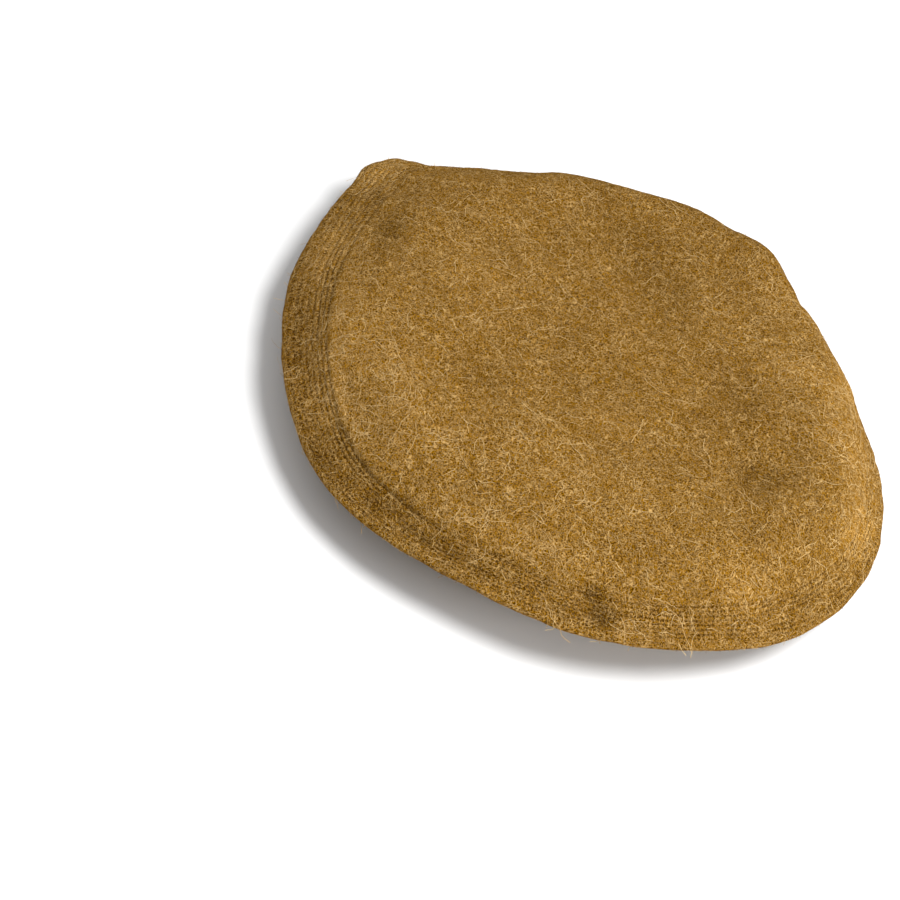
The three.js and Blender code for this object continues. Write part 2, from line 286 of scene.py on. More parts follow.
def read_round(values, count):
    """Rows of values round the hat, read at more bearings with no corners."""
    steps = len(values)
    place = np.arange(count) * steps / count
    low = np.floor(place).astype(int)
    t = (place - low).reshape(-1, *[1] * (values.ndim - 1))
    a, b, c, d = (values[(low + shift) % steps] for shift in (-1, 0, 1, 2))
    bend = 2 * a - 5 * b + 4 * c - d
    return 0.5 * (2 * b + (c - a) * t + bend * t**2 + (3 * (b - c) + d - a) * t**3)


def read_along(knots, heights, radii):
    """Heights at radii along each bearing, read with no corners."""
    gap = np.diff(knots, axis=1)
    rise = np.diff(heights, axis=1) / gap
    inner = (rise[:, :-1] * gap[:, 1:] + rise[:, 1:] * gap[:, :-1]) / (gap[:, :-1] + gap[:, 1:])
    slope = np.concatenate([rise[:, :1], inner, rise[:, -1:]], axis=1)
    low = (radii[:, :, None] >= knots[:, None, :]).sum(axis=2) - 1
    low = np.clip(low, 0, knots.shape[1] - 2)

    def pick(table, shift=0):
        return np.take_along_axis(table, low + shift, axis=1)

    length = pick(knots, 1) - pick(knots)
    t = (radii - pick(knots)) / length
    start, end = pick(heights), pick(heights, 1)
    return (start * (2 * t**3 - 3 * t**2 + 1) + end * (3 * t**2 - 2 * t**3)
            + length * (pick(slope) * (t**3 - 2 * t**2 + t) + pick(slope, 1) * (t**3 - t**2)))


def walked(steps):
    """How far along its row each point lies, from the lengths of the steps between them."""
    return np.concatenate([np.zeros((len(steps), 1)), np.cumsum(steps, axis=1)], axis=1)


def seen_from(middle, points):
    """Bearings in degrees and radii of points, from a middle."""
    across = points[..., :2] - middle
    bearing = np.degrees(np.arctan2(across[..., 1], across[..., 0]))
    return bearing, np.hypot(across[..., 0], across[..., 1])


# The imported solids

def mesh_points(mesh):
    flat = np.empty(len(mesh.vertices) * 3, np.float32)
    mesh.vertices.foreach_get("co", flat)
    return flat.reshape(-1, 3) / MM


def set_mesh_points(mesh, points):
    mesh.vertices.foreach_set("co", (points * MM).astype(np.float32).ravel())
    mesh.update()


def corner_points(node):
    """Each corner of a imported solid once, and how many faces meet there."""
    points = np.round(mesh_points(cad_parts[node].data), 3)
    return np.unique(points, axis=0, return_counts=True)


def cloth_rows(node, middle, count):
    """A packed cloth as rows, one a bearing: radii, upper heights and lower heights."""
    points, _ = corner_points(node)
    bearing, radius = seen_from(middle, points)
    row = np.round(bearing * count / 360) % count
    off_pole = radius > 1
    order = np.lexsort((radius[off_pole], row[off_pole]))
    table = np.column_stack([radius, points[:, 2]])[off_pole][order].reshape(count, -1, 2)
    pairs = table[:, :-1].reshape(count, -1, 2, 2)
    return pairs[..., 0].mean(axis=2), pairs[..., 1].max(axis=2), pairs[..., 1].min(axis=2)


top_points, top_faces = corner_points("crown_top")
ROWS_PACKED = int(top_faces.max())
poles = top_points[top_faces == ROWS_PACKED]
CROWN_MIDDLE = poles[0, :2]

roll_points, _ = corner_points("brim_roll")
ROLL_MIDDLE = roll_points.mean(axis=0)[:2]


# Meshes

def polar(bearings, radii, heights, middle):
    """Points from bearings in degrees, radii and heights."""
    angle = np.radians(bearings)
    if angle.ndim < np.ndim(radii):
        angle = angle[:, None]
    x = middle[0] + radii * np.cos(angle)
    y = middle[1] + radii * np.sin(angle)
    return np.stack([x, y, np.broadcast_to(heights, x.shape)], axis=-1)


def face_normals(grid):
    """Normals of a grid of points that is closed round its first axis."""
    round_way = np.roll(grid, -1, axis=0) - np.roll(grid, 1, axis=0)
    along = np.gradient(grid, axis=1)
    normal = np.cross(round_way, along)
    return normal / np.linalg.norm(normal, axis=-1, keepdims=True)


def rings_to_mesh(name, rings, closed=False):
    """A mesh from rings of points, in order along the section. A ring may have half or twice
    as many points as the one before it, and a single point closes a pole."""
    starts = np.cumsum([0] + [len(ring) for ring in rings])
    faces = []
    pairs = list(zip(range(len(rings)), range(1, len(rings))))
    if closed:
        pairs.append((len(rings) - 1, 0))
    for first, second in pairs:
        a, b = starts[first], starts[second]
        m, n = len(rings[first]), len(rings[second])
        if n == 1:
            faces += [(a + i, a + (i + 1) % m, b) for i in range(m)]
        elif m == 1:
            faces += [(a, b + (i + 1) % n, b + i) for i in range(n)]
        elif m == n:
            faces += [(a + i, a + (i + 1) % m, b + (i + 1) % n, b + i) for i in range(m)]
        elif m == 2 * n:
            faces += [(a + 2 * i, a + 2 * i + 1, a + (2 * i + 2) % m, b + (i + 1) % n, b + i)
                      for i in range(n)]
        else:
            faces += [(a + i, a + (i + 1) % m, b + (2 * i + 2) % n, b + 2 * i + 1, b + 2 * i)
                      for i in range(m)]
    mesh = bpy.data.meshes.new(name)
    mesh.from_pydata(np.concatenate(rings) * MM, [], faces)
    mesh.polygons.foreach_set("use_smooth", [True] * len(mesh.polygons))
    mesh.update()
    return mesh


def add_piece(name, mesh, material=None):
    piece = bpy.data.objects.new(name, mesh)
    bpy.context.scene.collection.objects.link(piece)
    if material:
        mesh.materials.append(material)
    return piece


def settled(piece):
    """The piece with its modifiers worked into a plain mesh."""
    graph = bpy.context.evaluated_depsgraph_get()
    mesh = bpy.data.meshes.new_from_object(piece.evaluated_get(graph))
    piece.modifiers.clear()
    piece.data = mesh
    return piece


def point_attribute(mesh, name, values):
    values = np.asarray(values, np.float32)
    kind, field = ("FLOAT_VECTOR", "vector") if values.ndim > 1 else ("FLOAT", "value")
    attribute = mesh.attributes.new(name, kind, "POINT")
    attribute.data.foreach_set(field, values.ravel())


def stitch_map(mesh, bearing, rows):
    """The UV map that the stitch holes follow: stitches round the hat, and rows across."""
    corner = np.empty(len(mesh.loops), np.int32)
    mesh.loops.foreach_get("vertex_index", corner)
    first = np.empty(len(mesh.polygons), np.int32)
    mesh.polygons.foreach_get("loop_start", first)
    count = np.diff(np.append(first, len(corner)))
    at = (bearing % 360)[corner]
    furthest = np.repeat(np.maximum.reduceat(at, first), count)
    at = np.where(furthest - at > 180, at + 360, at)
    layer = mesh.uv_layers.new(name="stitches")
    values = np.stack([at * STITCHES_ROUND / 360, rows[corner]], axis=1)
    layer.data.foreach_set("uv", values.astype(np.float32).ravel())


class Shell:
    """The rings of a quilted cloth, and the values that their points carry."""

    def __init__(self):
        self.rings = []
        self.carried = {}

    def add(self, points, every=1, **carried):
        """A ring, of which every so many points are kept."""
        self.rings.append(points[::every])
        for name, values in carried.items():
            kept = np.broadcast_to(values, len(points))[::every]
            self.carried.setdefault(name, []).append(kept)

    def mesh(self, name, order=1, closed=False):
        """The mesh, with its rings in the order added, or in reverse for an order of -1."""
        mesh = rings_to_mesh(name, self.rings[::order], closed)
        carried = {key: np.concatenate(rows[::order]) for key, rows in self.carried.items()}
        row = carried.pop("row")
        bearing, _ = seen_from(CROWN_MIDDLE, mesh_points(mesh))
        stitch_map(mesh, bearing, row)
        for key, values in carried.items():
            point_attribute(mesh, key, values)
        point_attribute(mesh, "rows", row_marks(bearing, row))
        return mesh


# Quilting and dents

def row_number(distance, width):
    """Rows of stitches in from the rim."""
    return distance / width * STITCH_ROWS


def row_marks(bearing, row):
    """How far the cloth is drawn in at a row of stitches, from 0 to 1."""
    total = 0
    for _, at_bearing, at_row, half_turn, half_rows, strong in ROW_MARKS:
        near = bell(turn(bearing, at_bearing), half_turn)
        total = total + strong * near * bell(row - at_row, half_rows)
    return np.minimum(total, 1)


def row_grooves(bearing, distance, width):
    """The quilting: a groove along each row of stitches but the innermost."""
    total = 0
    for row in range(1, STITCH_ROWS):
        depth = ROW_DEPTH + ROW_MARK_DEPTH * row_marks(bearing, row)
        total = total - depth * bell(distance - width * row / STITCH_ROWS, ROW_HALF)
    return total


def puckers(bearing, distance, width, seed):
    """Cloth that the stitches have drawn up: short waves across the rows."""
    waves = round_lumps(bearing / 360, distance / PUCKER_LENGTH, PUCKERS_ROUND, 64, seed)
    inside = ease((width + 3 - distance) / 4)
    return PUCKER_DEPTH * waves * inside


def crown_forms(bearing, radius, distance):
    """Rise and painted light of the small dents and swells."""
    lift, pale = np.zeros(distance.shape), np.zeros(distance.shape)
    for _, at_bearing, at_distance, half_round, half_across, step, painted_lighter in CROWN_FORMS:
        along = np.radians(turn(bearing, at_bearing)) * radius
        share = bell(along, half_round) * bell(distance - at_distance, half_across)
        lift += step * share
        pale += painted_lighter * share
    return lift, pale


def broad_forms(x, y):
    """Rise and painted light of the broad hollows, over the plan of the hat."""
    lift, pale = np.zeros(x.shape), np.zeros(x.shape)
    for _, at_x, at_y, half_length, half_width, heading, step, painted_lighter in CROWN_HOLLOWS:
        cos, sin = math.cos(math.radians(heading)), math.sin(math.radians(heading))
        along = (x - at_x) * cos + (y - at_y) * sin
        across = (y - at_y) * cos - (x - at_x) * sin
        share = bell(along, half_length) * bell(across, half_width)
        lift += step * share
        pale += painted_lighter * share
    return lift, pale


def walk_in(knots, heights, start, distances, samples=700):
    """Radii reached by walking in along a cloth from a start radius, bearing by bearing."""
    radii = start[:, None] * np.linspace(1, 0, samples)
    level = read_along(knots, heights, radii)
    steps = np.hypot(np.diff(radii, axis=1), np.diff(level, axis=1))
    return np.array([np.interp(distances, w, r) for w, r in zip(walked(steps), radii)])


# The crown's top

bearings = np.arange(BEARINGS) * 360 / BEARINGS
radii, upper, lower = cloth_rows("crown_top", CROWN_MIDDLE, ROWS_PACKED)
radii = np.insert(radii, 0, 0, axis=1)
upper = np.insert(upper, 0, poles[:, 2].max(), axis=1)
lower = np.insert(lower, 0, poles[:, 2].min(), axis=1)
top_knots, top_upper, top_lower = (read_round(rows, BEARINGS) for rows in (radii, upper, lower))
rim_radius = top_knots[:, -1]
band_width = read_table(BAND_WIDTHS, bearings)

walk = np.arange(BEAD_START, BAND_END + 0.01, BAND_STEP)
band_radii = walk_in(top_knots, top_upper, rim_radius, walk)
inner_radii = band_radii[:, -1:] * np.arange(1, 0, -1 / INNER_RINGS)[1:]
crown_radii = np.concatenate([band_radii, inner_radii], axis=1)
crown_heights = read_along(top_knots, top_upper, crown_radii)
crown_grid = polar(bearings, crown_radii, crown_heights, CROWN_MIDDLE)
from_rim = np.concatenate(
    [np.broadcast_to(walk, band_radii.shape), BAND_END + band_radii[:, -1:] - inner_radii], axis=1)

around = bearings[:, None]
width = band_width[:, None]
x, y = crown_grid[..., 0], crown_grid[..., 1]
stray = np.interp(np.arange(BEARINGS), np.arange(0, BEARINGS, BEARINGS // CREASE_BENDS),
                  np.random.default_rng(5).uniform(-1, 1, CREASE_BENDS), period=BEARINGS)
past_crease = from_rim - width - CREASE_STRAY * stray[:, None]
rise = layered_lumps(x, y, CROWN_LUMPS)
rise += row_grooves(around, from_rim, width)
rise -= read_table(CREASE_DEPTHS, bearings)[:, None] * bell(past_crease, CREASE_HALF)
rise += CREASE_SWELL * bell(past_crease - CREASE_SWELL_AT, CREASE_SWELL_HALF)
rise += RIM_SWELL * bell(from_rim - RIM_SWELL_AT, RIM_SWELL_HALF)
rise += puckers(around, from_rim, width, 6)
small_rise, small_painted_light = crown_forms(around, crown_radii, from_rim)
broad_rise, broad_painted_light = broad_forms(x, y)
rise += small_rise + broad_rise
# painted light and shade over the crown's forms, in part paler wool
tone = small_painted_light + broad_painted_light
crown_normals = face_normals(crown_grid)
crown_grid = crown_grid + crown_normals * rise[..., None]


def rim_bead(start, normals, bearings):
    """The turned edge of the rim, from the outer face round to the underside."""
    angle = np.radians(bearings)
    outward = np.stack([np.cos(angle), np.sin(angle), 0 * angle], axis=1)
    lean = (normals * outward).sum(axis=1, keepdims=True)
    up = normals[:, 2:3]
    length = np.hypot(lean, up)
    lean, up = lean / length, up / length
    across = outward * lean + np.array([0, 0, 1]) * up
    away = outward * up - np.array([0, 0, 1]) * lean
    half = FELT + SEAM / 2
    middle = start - across * half
    wave = RIM_WAVE * round_lumps(bearings / 360, 0.0, RIM_WAVES, 4, 8)
    reach = BEAD_START + read_table(RIM_REACH, bearings)[:, None] + wave[:, None]
    rings = []
    for step in range(1, BEAD_STEPS):
        swing = math.pi * step / BEAD_STEPS
        rings.append(middle + across * (half * math.cos(swing)) + away * (reach * math.sin(swing)))
    end = middle - across * half
    tucked = end + across * 0.9 - away * 0.5
    return rings + [end, tucked], end


def kept_points(radius):
    """Towards the middle of the crown, only every so many points of a ring are kept."""
    for limit, every in ((12, 8), (28, 4), (62, 2)):
        if radius < limit:
            return every
    return 1


def fuzziness(tone):
    """More loose hairs stand where the wool is painted lighter."""
    return np.clip(0.65 + 0.3 * tone, 0.1, 1)


bead_rings, bead_end = rim_bead(crown_grid[:, 0], crown_normals[:, 0], bearings)
pole_top, pole_under = poles[[poles[:, 2].argmax()]], poles[[poles[:, 2].argmin()]]
for pole in (pole_top, pole_under):
    pole[:, 2] += broad_forms(pole[:, 0], pole[:, 1])[0]

crown = Shell()
crown.add(pole_top, row=NO_ROW, fuzz=fuzziness(0.0), tone=0.0)
for ring in range(crown_grid.shape[1] - 1, -1, -1):
    crown.add(crown_grid[:, ring], kept_points(crown_radii[:, ring].mean()),
              row=row_number(from_rim[:, ring], band_width), fuzz=fuzziness(tone[:, ring]),
              tone=np.clip(tone[:, ring], -PAINTED_LIGHT_LIMIT, PAINTED_LIGHT_LIMIT))
for ring in bead_rings[:-1]:
    crown.add(ring, row=0.0, fuzz=0.7, tone=0.0)
crown.add(bead_rings[-1], row=0.0, fuzz=0.0, tone=0.0)
for number, share in enumerate(INSIDE_SHARES):
    inside_radii = rim_radius[:, None] * share
    inside_heights = read_along(top_knots, top_lower, inside_radii)
    ring = polar(bearings, inside_radii, inside_heights, CROWN_MIDDLE)[:, 0]
    ring[:, 2] += broad_forms(ring[:, 0], ring[:, 1])[0]
    crown.add(ring, (2, 4, 8)[min(number, 2)], row=NO_ROW, fuzz=0.0, tone=0.0)
crown.add(pole_under, row=NO_ROW, fuzz=0.0, tone=0.0)
crown_mesh = crown.mesh("crown_top_felt", order=-1)


# The crown's side, under the overhang

side_bearings = np.arange(SIDE_BEARINGS) * 360 / SIDE_BEARINGS
side_knots, side_over, side_under = (
    read_round(rows, SIDE_BEARINGS) for rows in cloth_rows("crown_side", CROWN_MIDDLE, ROWS_PACKED))
_, bead_radius = seen_from(CROWN_MIDDLE, bead_end)
side_start = np.interp(side_bearings, bearings, bead_radius, period=360) - SIDE_TUCK
inner_edge = side_knots[:, 0]
share = np.linspace(0, 1, SIDE_RINGS)[None, :]
lower_radii = side_start[:, None] * (1 - share) + inner_edge[:, None] * share
lower_heights = read_along(side_knots, side_under, lower_radii)
lower_grid = polar(side_bearings, lower_radii, lower_heights, CROWN_MIDDLE)
side_from_rim = BEAD_START + walked(np.linalg.norm(np.diff(lower_grid, axis=1), axis=2))
_, roll_distance = seen_from(ROLL_MIDDLE, lower_grid)
off_roll = ease((roll_distance - ROLL_TOUCHED) / (ROLL_CLEARED - ROLL_TOUCHED))
side_around = side_bearings[:, None]
side_width = read_table(BAND_WIDTHS, side_bearings)[:, None]
drop = layered_lumps(lower_grid[..., 0], lower_grid[..., 1], SIDE_LUMPS)
drop += row_grooves(side_around, side_from_rim, side_width)
drop -= SIDE_CREASE_DEPTH * bell(side_from_rim - side_width, SIDE_CREASE_HALF)
drop += SIDE_PUCKERS * puckers(side_around, side_from_rim, side_width, 13)
drop = drop * off_roll
lower_normals = -face_normals(lower_grid)
lower_grid = lower_grid + lower_normals * drop[..., None]

side = Shell()
for ring in range(lower_grid.shape[1] - 1, -1, -1):
    side.add(lower_grid[:, ring], fuzz=off_roll[:, ring],
             row=row_number(side_from_rim[:, ring], side_width[:, 0]))
for share in OVER_SHARES:
    over_radii = (side_start - OVER_TUCK)[:, None] * (1 - share)
    over_radii = over_radii + (inner_edge + 0.01)[:, None] * share
    over_heights = read_along(side_knots, side_over, over_radii)
    ring = polar(side_bearings, over_radii, over_heights, CROWN_MIDDLE)[:, 0]
    side.add(ring, 1 if share in (0.0, 1.0) else 2, row=NO_ROW, fuzz=0.0)
side_mesh = side.mesh("crown_side_felt", closed=True)


# The brim roll

packed_bearing, packed_radius = seen_from(ROLL_MIDDLE, roll_points)
packed_row = np.round(packed_bearing * ROLL_ROWS / 360) % ROLL_ROWS
half_width = np.array([np.ptp(packed_radius[packed_row == row]) / 2 for row in range(ROLL_ROWS)])
half_width = half_width / math.cos(math.radians(180 / ROLL_CORNERS))
half_width = read_round(half_width, ROLL_BEARINGS)[:, None]
ROLL_RADIUS = packed_radius.mean()

roll_bearings = np.arange(ROLL_BEARINGS) * 360 / ROLL_BEARINGS
roll_around = roll_bearings[:, None]
section = np.radians(np.arange(ROLL_SIDES) * 360 / ROLL_SIDES)[None, :]


def roll_lumps(round_count, section_count, seed):
    """Noise over the roll, in whole numbers of lumps round the hat and round its section."""
    across = section / math.pi * section_count / 2
    return round_lumps(roll_around / 360, across, round_count, section_count, seed)


underneath = ease((-np.sin(section) - UNDER_FROM) / UNDER_FADE)
swell = ROLL_SWELL * roll_lumps(40, 6, 21) * (1 - underneath)
reach = half_width + swell
out = reach * np.cos(section)
half_height = reach - HALF_HEIGHT_LESS
half_height = np.where(section > math.pi, np.maximum(half_height, ROLL_LEVEL + 1), half_height)
up = half_height * np.sin(section)
on_top = ease((up - TOP_FROM) / TOP_FADE)
level = ROLL_LEVEL + (up - on_top * np.maximum(swell, 0) * 0.9)
level = 0.5 * (level + np.sqrt(level**2 + 0.5)) - FOOT_PRESSED * underneath
roll_grid = polar(roll_bearings, ROLL_RADIUS + out, level, ROLL_MIDDLE)
drawn_in = GATHER_DEPTH + GATHER_DEPTH * roll_lumps(150, 10, 22)
gather_shade = np.zeros(roll_grid.shape[:2])
gather_random = np.random.default_rng(23)
for at_bearing, count, spread, depth in ROLL_GATHERS:
    for place in np.linspace(-0.5, 0.5, count) if count > 1 else (0.0,):
        start = at_bearing + place * spread + gather_random.uniform(-0.8, 0.8)
        bow = gather_random.uniform(-2.2, 2.2)
        slant = gather_random.uniform(-1.5, 1.5)
        phase = gather_random.uniform(0, 2 * math.pi)
        strong = depth * gather_random.uniform(0.6, 1.1)
        line = start + bow * np.sin(section + phase) + slant * np.cos(section)
        fade = 0.6 + 0.4 * np.sin(section + phase * 1.7)
        off = np.radians(turn(roll_around, line)) * ROLL_RADIUS
        drawn_in = drawn_in + strong * fade * (bell(off, 0.95) + 0.35 * bell(off, 3.2))
        gather_shade += strong * fade * (bell(off, 0.9) - 0.25 * bell(off, 4.5))
on_foot = ease((FOOT_TOP - level) / FOOT_FADE)
drawn_in = drawn_in * (1 - TOP_SMOOTHED * on_top) * (1 - on_foot)
roll_grid = roll_grid - face_normals(roll_grid) * drawn_in[..., None]
roll_rings = [roll_grid[:, corner] for corner in range(ROLL_SIDES)]
roll_mesh = rings_to_mesh("brim_roll_felt", roll_rings, closed=True)
covered = ease((level - COVERED_FROM) / COVERED_FADE) * ease((out + 8) / 4)
covered = covered + ease((1.2 - level) / 1.0)
point_attribute(roll_mesh, "fuzz", (1 - np.clip(covered, 0, 1)).T.ravel())
# painted shade in each gather, and a little painted light just beside it
point_attribute(roll_mesh, "tone", (-1.8 * gather_shade).T.ravel())


# The lining

lining_low, lining_high = (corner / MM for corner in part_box("lining"))
LINING_RADIUS = (lining_high.x - lining_low.x) / 2
LINING_EDGE = lining_low.z + COTTON / 2
lining_rise = lining_high.z - lining_low.z - COTTON


def lining_dome(x, y):
    """Height of the smooth lining's middle."""
    share = np.clip(((x - ROLL_MIDDLE[0])**2 + (y - ROLL_MIDDLE[1])**2) / LINING_RADIUS**2, 0, 1)
    return LINING_EDGE + lining_rise * (1 - share)


def lining_folds(x, y):
    """How far the slack cloth hangs below its dome, in folds that start at the sewn edge."""
    across, up = x - ROLL_MIDDLE[0], y - ROLL_MIDDLE[1]
    inward = LINING_RADIUS - np.hypot(across, up)
    across = across + FOLD_STRAY * plane_lumps(x, y, FOLD_STRAY_SIZE, 33)
    up = up + FOLD_STRAY * plane_lumps(x, y, FOLD_STRAY_SIZE, 34)
    radius = np.hypot(across, up)
    bearing = np.degrees(np.arctan2(up, across))
    hang = LINING_SAG * plane_lumps(x, y, LINING_SAG_SIZE, 32) * ease(inward / 25)
    for at_bearing, length, half, lean, deep in LINING_FOLDS:
        off = np.radians(turn(bearing, at_bearing)) * radius - lean * inward / length
        spread = half * (0.5 + 0.9 * inward / length)
        side_fall = np.exp(-np.sqrt((off / spread)**2 + 0.02))
        hang = hang + deep * side_fall * ease(inward / 9) * ease(1.25 * (1 - inward / length))
    return hang


def move_cloth(piece, points, sewn):
    """Lets the sewn cloth settle, and stops each point close to its start."""
    group = piece.vertex_groups.new(name="sewn edge")
    group.add(np.flatnonzero(sewn).tolist(), 1.0, "REPLACE")
    cloth = piece.modifiers.new("slack cotton", "CLOTH").settings
    cloth.vertex_group_mass = group.name
    cloth.quality = 6
    cloth.mass = 0.12
    cloth.tension_stiffness = cloth.compression_stiffness = 12
    cloth.shear_stiffness = 4
    cloth.bending_stiffness = 0.35
    cloth.shrink_min = -LINING_SLACK
    cloth.effector_weights.gravity = 0
    scene = bpy.context.scene
    for step in range(1, LINING_FRAMES + 1):
        scene.frame_set(step)
    settled(piece)
    scene.frame_set(1)
    moved = mesh_points(piece.data)
    swayed = points + LINING_SWAY * np.tanh((moved - points) / LINING_SWAY)
    highest = [np.inf, np.inf, LINING_EDGE + lining_rise]
    set_mesh_points(piece.data, np.minimum(swayed, highest))


def painted_fold_light(height):
    """Painted light and shade of the folds: lighter where the cloth hangs below what is around,
    and lighter on one side of each slope and darker on the other, as from a light at that side.
    """
    around = height.copy()
    for _ in range(LINING_BLUR):
        around[1:-1, 1:-1] = (around[:-2, 1:-1] + around[2:, 1:-1]
                              + around[1:-1, :-2] + around[1:-1, 2:]) / 4
    hung = around - height
    down_x, down_y = np.gradient(hung)
    # painted light on the hanging folds, and a painted side light on their slopes
    tone = hung / LINING_RELIEF + (0.8 * down_x - 0.6 * down_y) / LINING_SLOPE
    return np.clip(tone, -1, 1)


def make_lining(material):
    """A disc of cotton, sewn along its edge, whose slack lies in soft folds."""
    n = LINING_POINTS
    line = np.linspace(-1, 1, n)
    u, v = np.meshgrid(line, line, indexing="ij")
    x = ROLL_MIDDLE[0] + LINING_RADIUS * u * np.sqrt(1 - v**2 / 2)
    y = ROLL_MIDDLE[1] + LINING_RADIUS * v * np.sqrt(1 - u**2 / 2)
    sewn = np.maximum(abs(u), abs(v)).ravel() > 0.9999
    slack = np.maximum(lining_folds(x, y) + 0.3 * plane_lumps(x, y, 9, 31), 0)
    start = lining_dome(x, y) - np.where(sewn.reshape(u.shape), 0, slack)
    points = np.stack([x, y, start], axis=-1).reshape(-1, 3)
    corner = (np.arange(n - 1)[:, None] * n + np.arange(n - 1)[None, :]).ravel()
    faces = np.stack([corner, corner + n, corner + n + 1, corner + 1], axis=1).tolist()
    mesh = bpy.data.meshes.new("lining_cotton")
    mesh.from_pydata(points * MM, [], faces)
    piece = add_piece("lining_cotton", mesh, material)
    move_cloth(piece, points, sewn)
    height = mesh_points(piece.data)[:, 2].reshape(n, n)
    # the folds' painted light and shade
    point_attribute(piece.data, "tone", painted_fold_light(height).ravel())
    thick = piece.modifiers.new("thickness", "SOLIDIFY")
    thick.thickness = COTTON * MM
    thick.offset = 0
    settled(piece)
    piece.data.polygons.foreach_set("use_smooth", [True] * len(piece.data.polygons))
    return piece


# Node trees

class Tree:
    """A tree of nodes that is being built."""

    def __init__(self, tree):
        self.tree = tree

    def add(self, kind, inputs=None, **settings):
        node = self.tree.nodes.new(kind)
        for name, value in settings.items():
            setattr(node, name, value)
        for name, value in (inputs or {}).items():
            self.feed(node.inputs[name], value)
        return node

    def feed(self, socket, value):
        if isinstance(value, bpy.types.Node):
            value = value.outputs[0]
        if isinstance(value, bpy.types.NodeSocket):
            self.tree.links.new(value, socket)
        else:
            socket.default_value = value

    def math(self, operation, first, second=0.5, third=0.0, clamp=False):
        node = self.add("ShaderNodeMath", {0: first, 1: second, 2: third},
                        operation=operation, use_clamp=clamp)
        return node.outputs[0]

    def vector(self, operation, first, second):
        """A sum or difference of two vectors, or a vector that is scaled by a number."""
        second_input = "Scale" if operation == "SCALE" else 1
        return self.add("ShaderNodeVectorMath", {0: first, second_input: second},
                        operation=operation).outputs[0]


class Finish(Tree):
    """A material's tree. Sizes are in metres."""

    def __init__(self, name, roughness, sheen, gloss):
        self.material = bpy.data.materials.new(name)
        self.material.use_nodes = True
        super().__init__(self.material.node_tree)
        self.shader = self.tree.nodes["Principled BSDF"]
        self.shader.inputs["Roughness"].default_value = roughness
        self.shader.inputs["Sheen Weight"].default_value = sheen
        self.shader.inputs["Sheen Roughness"].default_value = 0.6
        self.shader.inputs["Sheen Tint"].default_value = (1.0, 0.8, 0.5, 1.0)
        self.shader.inputs["Specular IOR Level"].default_value = gloss
        self.place = self.add("ShaderNodeTexCoord").outputs["Object"]

    def carried(self, name):
        """A value that the points of the mesh carry."""
        return self.add("ShaderNodeAttribute", attribute_name=name).outputs["Fac"]

    def noise(self, size, detail=2.0, roughness=0.5, place=None, distortion=0.0):
        node = self.add("ShaderNodeTexNoise", {
            "Vector": place or self.place, "Scale": 1 / size, "Detail": detail,
            "Roughness": roughness, "Distortion": distortion})
        return node.outputs["Fac"]

    def rescale(self, value, low, high, to_low=0.0, to_high=1.0):
        node = self.add("ShaderNodeMapRange", {
            "Value": value, "From Min": low, "From Max": high, "To Min": to_low,
            "To Max": to_high}, interpolation_type="SMOOTHSTEP")
        return node.outputs["Result"]

    def weigh(self, first, second, share):
        """A share of the first value, and the rest of the second."""
        return self.math("ADD", self.math("MULTIPLY", first, share),
                         self.math("MULTIPLY", second, 1 - share))

    def mix(self, share, first, second):
        node = self.add("ShaderNodeMix", {0: share, 6: first, 7: second}, data_type="RGBA")
        return node.outputs[2]

    def brighten(self, body, tone, strength, plain):
        """A colour at its plain brightness, raised or lowered by painted light and shade."""
        lit = self.math("MULTIPLY_ADD", tone, strength, plain)
        return self.add("ShaderNodeHueSaturation", {"Color": body, "Value": lit}).outputs[0]

    def hairs(self, size, thin, seed):
        """Thin curled lines, 1 along a hair and 0 between hairs."""
        shifted = self.add("ShaderNodeMapping", {
            "Vector": self.place, "Location": (seed * 0.137, seed * 0.071, seed * 0.053),
            "Rotation": (seed * 0.9, seed * 0.4, seed * 1.7)})
        level = self.noise(size, 0.0, 0.5, place=shifted.outputs[0], distortion=0.6)
        off = self.math("ABSOLUTE", self.math("SUBTRACT", level, 0.5))
        return self.rescale(off, 0.0, thin, 1.0, 0.0)

    def bump(self, height, depth, strength=1.0):
        node = self.add("ShaderNodeBump", {
            "Height": height, "Distance": depth, "Strength": strength})
        self.tree.links.new(node.outputs[0], self.shader.inputs["Normal"])

    def colour(self, value):
        self.feed(self.shader.inputs["Base Color"], value)


def shade(hexadecimal):
    """A colour from the usual eight-bit notation, as the shaders want it."""
    parts = [int(hexadecimal[i:i + 2], 16) / 255 for i in (0, 2, 4)]
    return tuple(p / 12.92 if p <= 0.04045 else ((p + 0.055) / 1.055)**2.4 for p in parts) + (1.0,)


